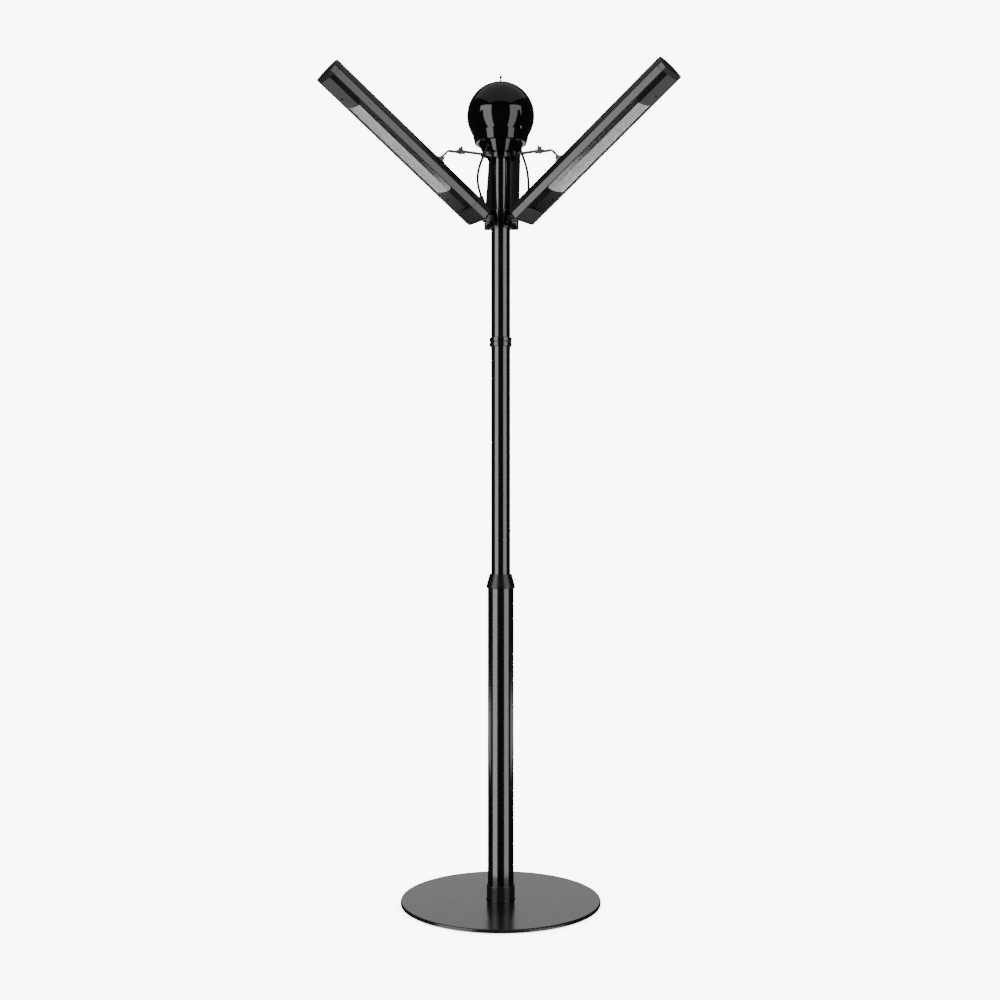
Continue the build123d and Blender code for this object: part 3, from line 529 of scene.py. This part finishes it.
class HEATER_OT_stage(bpy.types.Operator):
    """Adds the camera, the soft lights and the pale floor"""

    bl_idname = "heater.stage"
    bl_label = "Stage"

    def execute(self, context):
        self.camera(context)
        self.world(context)
        self.floor()
        self.softbox("softbox_left", -52, 3.0, 1.1, (2.3, 4.4), 100)
        self.softbox("softbox_right", 52, 3.0, 1.1, (2.3, 4.4), 72)
        self.softbox("softbox_back", 180, 4.0, 1.5, (2.4, 1.9), 12)
        self.floor_panel("panel_left", -2.4)
        self.floor_panel("panel_right", 2.4)
        self.top_light()
        return {"FINISHED"}

    def camera(self, context):
        """Level camera at the height of the pole's middle."""
        deselect()
        bpy.ops.object.camera_add(location=(-0.0018, -3.375, 1.0075), rotation=(math.pi / 2, 0, 0))
        camera = context.object
        camera.name = "camera"
        camera.data.lens = 48.5
        camera.data.sensor_width = 36
        context.scene.camera = camera

    def world(self, context):
        """White for the camera and dim grey for reflections and fill."""
        world = bpy.data.worlds.new("studio")
        context.scene.world = world
        world.use_nodes = True
        nodes = world.node_tree.nodes
        links = world.node_tree.links
        nodes.clear()
        path = nodes.new("ShaderNodeLightPath")
        white = nodes.new("ShaderNodeBackground")
        dim = nodes.new("ShaderNodeBackground")
        mix = nodes.new("ShaderNodeMixShader")
        output = nodes.new("ShaderNodeOutputWorld")
        white.inputs["Color"].default_value = (1, 1, 1, 1)
        white.inputs["Strength"].default_value = 9
        dim.inputs["Strength"].default_value = 0.03
        links.new(path.outputs["Is Camera Ray"], mix.inputs["Fac"])
        links.new(dim.outputs["Background"], mix.inputs[1])
        links.new(white.outputs["Background"], mix.inputs[2])
        links.new(mix.outputs["Shader"], output.inputs["Surface"])

    def floor(self):
        """Pale floor, evenly bright for the camera, with a painted contact shadow: ambient
        occlusion dims its glow where the base stands on it.
        """
        add = bpy.ops.mesh.primitive_circle_add
        ground = start("floor", add, vertices=96, radius=40, fill_type="NGON")
        material = bpy.data.materials.new("floor_pale")
        material.use_nodes = True
        nodes = material.node_tree.nodes
        links = material.node_tree.links
        nodes.clear()
        path = nodes.new("ShaderNodeLightPath")
        # Painted contact shadow: ambient occlusion near the base lowers the glow the camera sees.
        painted_shadow_ao = nodes.new("ShaderNodeAmbientOcclusion")
        painted_shadow_ao.inputs["Distance"].default_value = 0.12
        shade = nodes.new("ShaderNodeMapRange")
        shade.inputs["To Min"].default_value = 2
        shade.inputs["To Max"].default_value = 9
        glow = nodes.new("ShaderNodeEmission")
        place = nodes.new("ShaderNodeTexCoord")
        reach = nodes.new("ShaderNodeVectorMath")
        reach.operation = "LENGTH"
        fall = nodes.new("ShaderNodeMapRange")
        fall.inputs["From Min"].default_value = 3
        fall.inputs["From Max"].default_value = 6
        fall.inputs["To Min"].default_value = 0.75
        fall.inputs["To Max"].default_value = 0.02
        dull = nodes.new("ShaderNodeBsdfDiffuse")
        links.new(place.outputs["Object"], reach.inputs[0])
        links.new(reach.outputs["Value"], fall.inputs["Value"])
        links.new(fall.outputs["Result"], dull.inputs["Color"])
        mix = nodes.new("ShaderNodeMixShader")
        output = nodes.new("ShaderNodeOutputMaterial")
        links.new(painted_shadow_ao.outputs["AO"], shade.inputs["Value"])
        links.new(shade.outputs["Result"], glow.inputs["Strength"])
        links.new(path.outputs["Is Camera Ray"], mix.inputs["Fac"])
        links.new(dull.outputs["BSDF"], mix.inputs[1])
        links.new(glow.outputs["Emission"], mix.inputs[2])
        links.new(mix.outputs["Shader"], output.inputs["Surface"])
        ground.data.materials.append(material)
        ground.visible_glossy = False

    def area_light(self, name, place, rotation, size, power):
        """Rectangular soft light that the camera doesn't see."""
        deselect()
        bpy.ops.object.light_add(type="AREA", location=place, rotation=rotation)
        light = bpy.context.object
        light.name = name
        light.data.shape = "RECTANGLE"
        light.data.size, light.data.size_y = size
        light.data.energy = power
        light.visible_camera = False

    def softbox(self, name, bearing, distance, height, size, power):
        """Tall soft light at a bearing from the camera's side, facing the pole."""
        angle = math.radians(bearing)
        place = (math.sin(angle) * distance, -math.cos(angle) * distance, height)
        self.area_light(name, place, (math.pi / 2, 0, angle), size, power)

    def floor_panel(self, name, across):
        """Soft light low at one side, shining up into the heads."""
        self.area_light(name, (across, 1.1, 0.02), (math.pi, 0, 0), (1.8, 1.8), 12)

    def top_light(self):
        """Wide soft light overhead."""
        self.area_light("softbox_top", (0, -0.6, 4.2), (0, 0, 0), (5.0, 5.0), 26)


class HEATER_OT_finishes(bpy.types.Operator):
    """Gives every piece that comes from the frame its finish"""

    bl_idname = "heater.finishes"
    bl_label = "Frame finishes"

    def execute(self, context):
        coat(["base_plate", "base_socket"], "base_coat")
        coat(["lower_tube", "middle_tube", "upper_tube"], "powder_coat")
        coat(["joint_coupling", "hub_collar"], "powder_coat")
        coat(["hub_cone", "ball_cup", "ball_dome", "finial"], "gloss_black")
        coat(["base_pad"], "rubber")
        coat(["base_bolts"], "nickel")
        coat(["hinge_pins"], "gloss_black")
        coat(["lock_collar"], "collar_plastic")
        coat(["guide_bush", "clamp_ring"], "natural_nylon")
        coat(["end_guide", "mains_gland", "lead_glands"], "black_plastic")
        coat(["terminal_block"], "ceramic")
        coat_heads("shell", "shell_paint")
        coat_heads("lower_cap", "cap_paint")
        coat_heads("upper_cap", "cap_paint")
        coat_heads("front_plate", "plate_paint")
        coat_heads("reflector", "polished_aluminium")
        coat_heads("heater_tube", "quartz")
        coat_heads("tube_holders", "ceramic")
        coat_heads("stay_bracket", "cap_paint")
        coat_heads("hub_stay", "strap_steel")
        coat_heads("head_stay", "strap_steel")
        coat_heads("wing_screw", "nickel")
        return {"FINISHED"}


class HEATER_OT_leads(bpy.types.Operator):
    """Lays the lead from the cone to each head"""

    bl_idname = "heater.leads"
    bl_label = "Leads"

    ROUTE = (
        (0.0472, 0.0170, 1.8840),
        (0.0550, 0.0165, 1.8640),
        (0.0665, 0.0140, 1.8370),
        (0.0730, 0.0125, 1.8060),
        (0.0715, 0.0160, 1.7795),
        (0.0665, 0.0215, 1.7560),
    )

    def execute(self, context):
        sizes = context.scene.heater_sizes
        for head in HEADS:
            axis = JOINTS[head + "_tilt"]["axis"]
            turn = Matrix.Rotation(math.atan2(axis[0], -axis[1]), 4, "Z")
            route = [turn @ Vector(point) for point in self.ROUTE]
            line = self.line(head + "_lead_line", route)
            path = self.middle(line)
            lead = self.sheath(line, head + "_lead_cable", sizes.lead_diameter / 2)
            lead.data.materials.append(finish_of("cable_sheath"))
            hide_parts(head + "_lead")
            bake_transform(lead)
        return {"FINISHED"}

    def line(self, name, route):
        """Smooth line through a route, as a NURBS curve."""
        curve = bpy.data.curves.new(name, "CURVE")
        curve.dimensions = "3D"
        curve.resolution_u = 24
        spline = curve.splines.new("NURBS")
        spline.points.add(len(route) - 1)
        for point, place in zip(spline.points, route):
            point.co = (*place, 1)
        spline.order_u = 3
        spline.use_endpoint_u = True
        made = bpy.data.objects.new(name, curve)
        bpy.context.scene.collection.objects.link(made)
        return made

    def middle(self, line):
        """Points along a line."""
        flat = bpy.data.meshes.new_from_object(line)
        path = [vertex.co.copy() for vertex in flat.vertices]
        bpy.data.meshes.remove(flat)
        return path

    def sheath(self, line, name, radius):
        """Round cable as a closed mesh along a line."""
        line.data.bevel_depth = radius
        line.data.bevel_resolution = 6
        line.data.use_fill_caps = True
        mesh = bpy.data.meshes.new_from_object(line)
        cable = bpy.data.objects.new(name, mesh)
        bpy.context.scene.collection.objects.link(cable)
        bpy.data.objects.remove(line, do_unlink=True)
        only(cable)
        bpy.ops.object.mode_set(mode="EDIT")
        bpy.ops.mesh.select_all(action="SELECT")
        bpy.ops.mesh.remove_doubles(threshold=CABLE_MERGE)
        bpy.ops.mesh.normals_make_consistent(inside=False)
        bpy.ops.object.mode_set(mode="OBJECT")
        return smooth(cable, 50)


class HEATER_OT_guards(bpy.types.Operator):
    """Weaves the bright mesh guard in each head's window"""

    bl_idname = "heater.guards"
    bl_label = "Mesh guards"

    def execute(self, context):
        sizes = context.scene.heater_sizes
        for head in HEADS:
            guard = self.half(head + "_mesh_guard", sizes)
            across = (False, True, False)
            modify(guard, "MIRROR", use_axis=across, use_clip=True, merge_threshold=MIRROR_MERGE)
            settle(guard, head_place(head))
            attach(guard, head + "_head")
            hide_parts(head + "_grille")
        return {"FINISHED"}

    def two_finishes(self, guard):
        """Bright front face; painted shade, near black, on the walls of the openings and on the
        back.
        """
        guard.data.materials.clear()
        guard.data.materials.append(finish_of("bright_steel"))
        guard.data.materials.append(finish_of("painted_shade_walls"))
        for face in guard.data.polygons:
            face.use_smooth = False
            # Faces not turned to the front get the near-black painted shade.
            face.material_index = 0 if face.normal.z < FRONT_FACING else 1

    def half(self, name, sizes):
        """Half of the guard: crossed strips on one side of the fold."""
        run = sizes.guard_end - sizes.guard_start
        side = (run + sizes.guard_half_width) / math.sqrt(2) + 4 * sizes.guard_cell
        count = round(side / sizes.guard_cell)
        guard = start(
            name,
            bpy.ops.mesh.primitive_grid_add,
            x_subdivisions=count,
            y_subdivisions=count,
            size=side,
            rotation=(0, 0, math.pi / 4),
            location=((sizes.guard_start + sizes.guard_end) / 2, sizes.guard_half_width / 2, 0),
        )
        settle(guard)
        bpy.ops.object.mode_set(mode="EDIT")
        cuts = (
            ((sizes.guard_start, 0, 0), (-1, 0, 0)),
            ((sizes.guard_end, 0, 0), (1, 0, 0)),
            ((0, 0, 0), (0, -1, 0)),
            ((0, sizes.guard_half_width, 0), (0, 1, 0)),
        )
        for place, outward in cuts:
            bpy.ops.mesh.select_all(action="SELECT")
            bpy.ops.mesh.bisect(plane_co=place, plane_no=outward, clear_outer=True)
        bpy.ops.mesh.select_all(action="SELECT")
        bpy.ops.mesh.remove_doubles(threshold=GUARD_MERGE)
        bpy.ops.object.mode_set(mode="OBJECT")
        strip = sizes.guard_strip
        modify(guard, "WIREFRAME", thickness=strip, use_even_offset=False, use_boundary=True)
        flatten = sizes.guard_sheet / strip
        guard.data.transform(Matrix.Diagonal((1, 1, flatten, 1)))
        self.two_finishes(guard)
        slope = math.atan2(sizes.guard_fold, sizes.guard_half_width)
        fold = Matrix.Translation((0, 0, sizes.guard_setback + sizes.guard_fold))
        return settle(guard, fold @ Matrix.Rotation(-slope, 4, "X"))


def spin_shut(steps):
    """Spins the profile in edit mode round the Z axis into a closed shape."""
    bpy.ops.mesh.select_all(action="SELECT")
    bpy.ops.mesh.spin(steps=steps, angle=2 * math.pi, center=(0, 0, 0), axis=(0, 0, 1))
    bpy.ops.mesh.select_all(action="SELECT")
    bpy.ops.mesh.remove_doubles(threshold=SPIN_MERGE)
    bpy.ops.mesh.normals_make_consistent(inside=False)
    bpy.ops.object.mode_set(mode="OBJECT")


def cap_screw(name, radius, height, socket):
    """Round-headed screw with a hexagonal socket: its head stands on the origin, along Z."""
    cylinder = bpy.ops.mesh.primitive_cylinder_add
    screw = start(name, cylinder, vertices=ROUND_STEPS, radius=radius, depth=height)
    settle(screw, Matrix.Translation((0, 0, height / 2)))
    bpy.ops.object.mode_set(mode="EDIT")
    bpy.ops.mesh.select_all(action="DESELECT")
    shape = bmesh.from_edit_mesh(screw.data)
    for face in shape.faces:
        face.select_set(face.normal.z > UP_FACING)
    bmesh.update_edit_mesh(screw.data)
    bpy.ops.mesh.bevel(offset=height * SCREW_ROUNDING, segments=4, affect="EDGES")
    bpy.ops.object.mode_set(mode="OBJECT")
    key = start(name + "_key", cylinder, vertices=6, radius=socket, depth=height)
    settle(key, Matrix.Translation((0, 0, height)))
    modify(screw, "BOOLEAN", operation="DIFFERENCE", object=key, solver="EXACT")
    bpy.data.objects.remove(key, do_unlink=True)
    return smooth(screw, 40)


class HEATER_OT_wing_screws(bpy.types.Operator):
    """Shapes the wing screws that hold the stays"""

    bl_idname = "heater.wing_screws"
    bl_label = "Wing screws"

    TOP_HEIGHT = 9 * MM
    WING_RADIUS = 3.9 * MM
    WING_THICKNESS = 2.4 * MM
    WING_EDGE = 0.7 * MM
    WING_STRETCH = 1.25
    WING_LEAN = 0.45
    WING_ACROSS = 4.6 * MM
    WING_DROP = 4.9 * MM

    def execute(self, context):
        for head in HEADS:
            low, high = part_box(head + "_wing_screw")
            joint = JOINTS[head + "_wing_screw_turn"]
            azimuth = math.atan2(joint["pos_m"][1], joint["pos_m"][0])
            centre = Vector((joint["pos_m"][0], joint["pos_m"][1], 0))
            screw = self.shape(head + "_wing_nut", low[2], high[2])
            settle(screw, Matrix.Translation(centre) @ Matrix.Rotation(azimuth, 4, "Z"))
            smooth(screw, 40)
            complete(screw, head + "_wing_screw", "nickel")
            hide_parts(head + "_wing_screw")
        return {"FINISHED"}

    def shape(self, name, low, high):
        """Screw from low to high: button, shank, tapered boss and two rounded wings."""
        foot = high - self.TOP_HEIGHT
        button = ((0, 0), (4.6, 0), (5.8, 0.6), (6.0, 2.0), (3.0, 2.0))
        boss = ((3.0, 0), (5.9, 0), (5.6, 2.4), (3.9, 4.6), (3.2, 5.0), (0, 5.0))
        profile = [(radius * MM, low + rise * MM) for radius, rise in button]
        profile += [(radius * MM, foot + rise * MM) for radius, rise in boss]
        screw = start(name, bpy.ops.mesh.primitive_plane_add, size=0.01)
        bpy.ops.object.mode_set(mode="EDIT")
        shape = bmesh.from_edit_mesh(screw.data)
        bmesh.ops.delete(shape, geom=shape.verts[:], context="VERTS")
        points = [shape.verts.new((radius, 0, height)) for radius, height in profile]
        for first, second in zip(points, points[1:]):
            shape.edges.new((first, second))
        bmesh.update_edit_mesh(screw.data)
        spin_shut(ROUND_STEPS)
        for side in (-1, 1):
            self.wing(screw, side, high)
        return screw

    def wing(self, screw, side, high):
        """Joins one rounded, leaning wing to the boss."""
        wing = start(
            screw.name + "_wing",
            bpy.ops.mesh.primitive_cylinder_add,
            vertices=ROUND_STEPS,
            radius=self.WING_RADIUS,
            depth=self.WING_THICKNESS,
            rotation=(0, math.pi / 2, 0),
        )
        settle(wing)
        modify(wing, "BEVEL", width=self.WING_EDGE, segments=3, limit_method="ANGLE")
        stretch = Matrix.Diagonal((1, 1, self.WING_STRETCH, 1))
        lean = Matrix.Rotation(-side * self.WING_LEAN, 4, "X")
        place = Matrix.Translation((0, side * self.WING_ACROSS, high - self.WING_DROP))
        settle(wing, place @ lean @ stretch)
        modify(screw, "BOOLEAN", operation="UNION", object=wing, solver="EXACT")
        bpy.data.objects.remove(wing, do_unlink=True)


class HEATER_OT_small_screws(bpy.types.Operator):
    """Sets the small screws of the heads, the ball, the base socket and the joint coupling"""

    bl_idname = "heater.small_screws"
    bl_label = "Small screws"

    ARCH_CENTRE = 3.75 * MM
    ARCH_RADIUS = 45.5 * MM
    CAP_ALONG = (0.030, 0.505)
    CAP_ANGLES = (-0.75, 0.75)
    PLATE_ALONG = (0.090, 0.440)
    PLATE_ACROSS = 29 * MM
    PLATE_DEPTH = 1.0 * MM
    PLATE_FOLD_SHARE = 0.3
    SEAM_HEIGHT = 1.9270
    SEAM_TURN = math.radians(15)
    SEAM_SINK = 0.2 * MM
    SET_SINK = 0.9 * MM

    def execute(self, context):
        self.cap_screws()
        self.plate_screws()
        self.ball_screws()
        self.set_screws("base_socket", "base", 3, 0.62, 120)
        self.set_screws("joint_coupling", "mast", 2, 0.5, 30)
        return {"FINISHED"}

    def arch_place(self, along, angle):
        """Place on a head's round back, at an angle from its crown."""
        centre = Matrix.Translation((along, 0, self.ARCH_CENTRE))
        out = Matrix.Translation((0, 0, self.ARCH_RADIUS))
        return centre @ Matrix.Rotation(angle, 4, "X") @ out

    def cap_screws(self):
        """Two screws on the back of each cap."""
        for head in HEADS:
            places = []
            for along in self.CAP_ALONG:
                for angle in self.CAP_ANGLES:
                    places.append(head_place(head) @ self.arch_place(along, angle))
            screw = cap_screw("screw", 2.6 * MM, 1.0 * MM, 1.2 * MM)
            screws = copies(screw, places, head + "_cap_screws")
            complete(screws, head + "_head", "black_oxide")

    def plate_screws(self):
        """Four screws that hold the front plate, beyond the ends of its window."""
        sizes = bpy.context.scene.heater_sizes
        slope = math.atan2(sizes.guard_fold, sizes.guard_half_width)
        for head in HEADS:
            places = []
            for along in self.PLATE_ALONG:
                for side in (-1, 1):
                    depth = self.PLATE_DEPTH + sizes.guard_fold * self.PLATE_FOLD_SHARE
                    spot = Matrix.Translation((along, side * self.PLATE_ACROSS, depth))
                    face = Matrix.Rotation(math.pi + side * slope, 4, "X")
                    places.append(head_place(head) @ spot @ face)
            screw = cap_screw("screw", 2.6 * MM, 1.3 * MM, 1.2 * MM)
            screws = copies(screw, places, head + "_plate_screws")
            complete(screws, head + "_head", "black_oxide")

    def ball_screws(self):
        """Three bright screws through the seam of the ball."""
        low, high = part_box("ball_dome")
        radius = (high[0] - low[0]) / 2
        centre = high[2] - radius
        tilt = math.asin((self.SEAM_HEIGHT - centre) / radius)
        places = []
        for head in HEADS:
            axis = JOINTS[head + "_tilt"]["axis"]
            turn = Matrix.Rotation(math.atan2(axis[0], -axis[1]) - self.SEAM_TURN, 4, "Z")
            lift = Matrix.Rotation(math.pi / 2 - tilt, 4, "Y")
            out = Matrix.Translation((0, 0, radius - self.SEAM_SINK))
            places.append(Matrix.Translation((0, 0, centre)) @ turn @ lift @ out)
        screw = cap_screw("screw", 2.8 * MM, 1.7 * MM, 1.2 * MM)
        screws = copies(screw, places, "ball_screws")
        complete(screws, "mast", "chrome")

    def set_screws(self, node, body, count, share, first):
        """Set screws round a collar, at a share of its height, from a first bearing in degrees."""
        low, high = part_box(node)
        radius = (high[0] - low[0]) / 2
        height = low[2] + share * (high[2] - low[2])
        places = []
        for step in range(count):
            azimuth = math.radians(first) + step * 2 * math.pi / count
            place = round_place(azimuth, radius - self.SET_SINK, height)
            places.append(place @ Matrix.Rotation(math.pi / 2, 4, "Y"))
        screw = cap_screw("screw", 2.6 * MM, 1.4 * MM, 1.3 * MM)
        screws = copies(screw, places, node + "_set_screws")
        complete(screws, body, "black_oxide")


class HEATER_OT_foot_bead(bpy.types.Operator):
    """Runs the sealing bead round the foot of the base socket"""

    bl_idname = "heater.foot_bead"
    bl_label = "Foot bead"

    BEAD_RADIUS = 1.7 * MM
    BEAD_OUT = 0.5 * MM
    BEAD_RISE = 0.9 * MM

    def execute(self, context):
        low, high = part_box("base_socket")
        radius = (high[0] - low[0]) / 2 + self.BEAD_OUT
        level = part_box("base_plate")[1][2] + self.BEAD_RISE
        circle = bpy.ops.mesh.primitive_circle_add
        bead = start("foot_bead", circle, vertices=16, radius=self.BEAD_RADIUS)
        upright = Matrix.Rotation(math.pi / 2, 4, "X")
        settle(bead, Matrix.Translation((radius, 0, level)) @ upright)
        bpy.ops.object.mode_set(mode="EDIT")
        spin_shut(BEAD_STEPS)
        smooth(bead, 60)
        complete(bead, "base", "gloss_black")
        return {"FINISHED"}


class HEATER_PT_build(bpy.types.Panel):
    """Lists the heater's operators"""

    bl_label = "Outdoor Heater"
    bl_space_type = "VIEW_3D"
    bl_region_type = "UI"
    bl_category = "Heater"

    def draw(self, context):
        for operator in OPERATORS:
            self.layout.operator(operator.bl_idname)


OPERATORS = (
    HEATER_OT_stage,
    HEATER_OT_leads,
    HEATER_OT_finishes,
    HEATER_OT_guards,
    HEATER_OT_wing_screws,
    HEATER_OT_small_screws,
    HEATER_OT_foot_bead,
)
CLASSES = (HeaterSizes, HeaterColours, *OPERATORS, HEATER_PT_build)


def register():
    """Registers the classes and the scene's settings."""
    for each in CLASSES:
        bpy.utils.register_class(each)
    bpy.types.Scene.heater_sizes = PointerProperty(type=HeaterSizes)
    bpy.types.Scene.heater_colours = PointerProperty(type=HeaterColours)


def unregister():
    """Removes the settings and the classes."""
    del bpy.types.Scene.heater_colours
    del bpy.types.Scene.heater_sizes
    for each in reversed(CLASSES):
        bpy.utils.unregister_class(each)


def main():
    """Registers the add-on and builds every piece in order."""
    register()
    for operator in OPERATORS:
        group, name = operator.bl_idname.split(".")
        getattr(getattr(bpy.ops, group), name)()
    deselect()


if __name__ == "__main__":
    main()
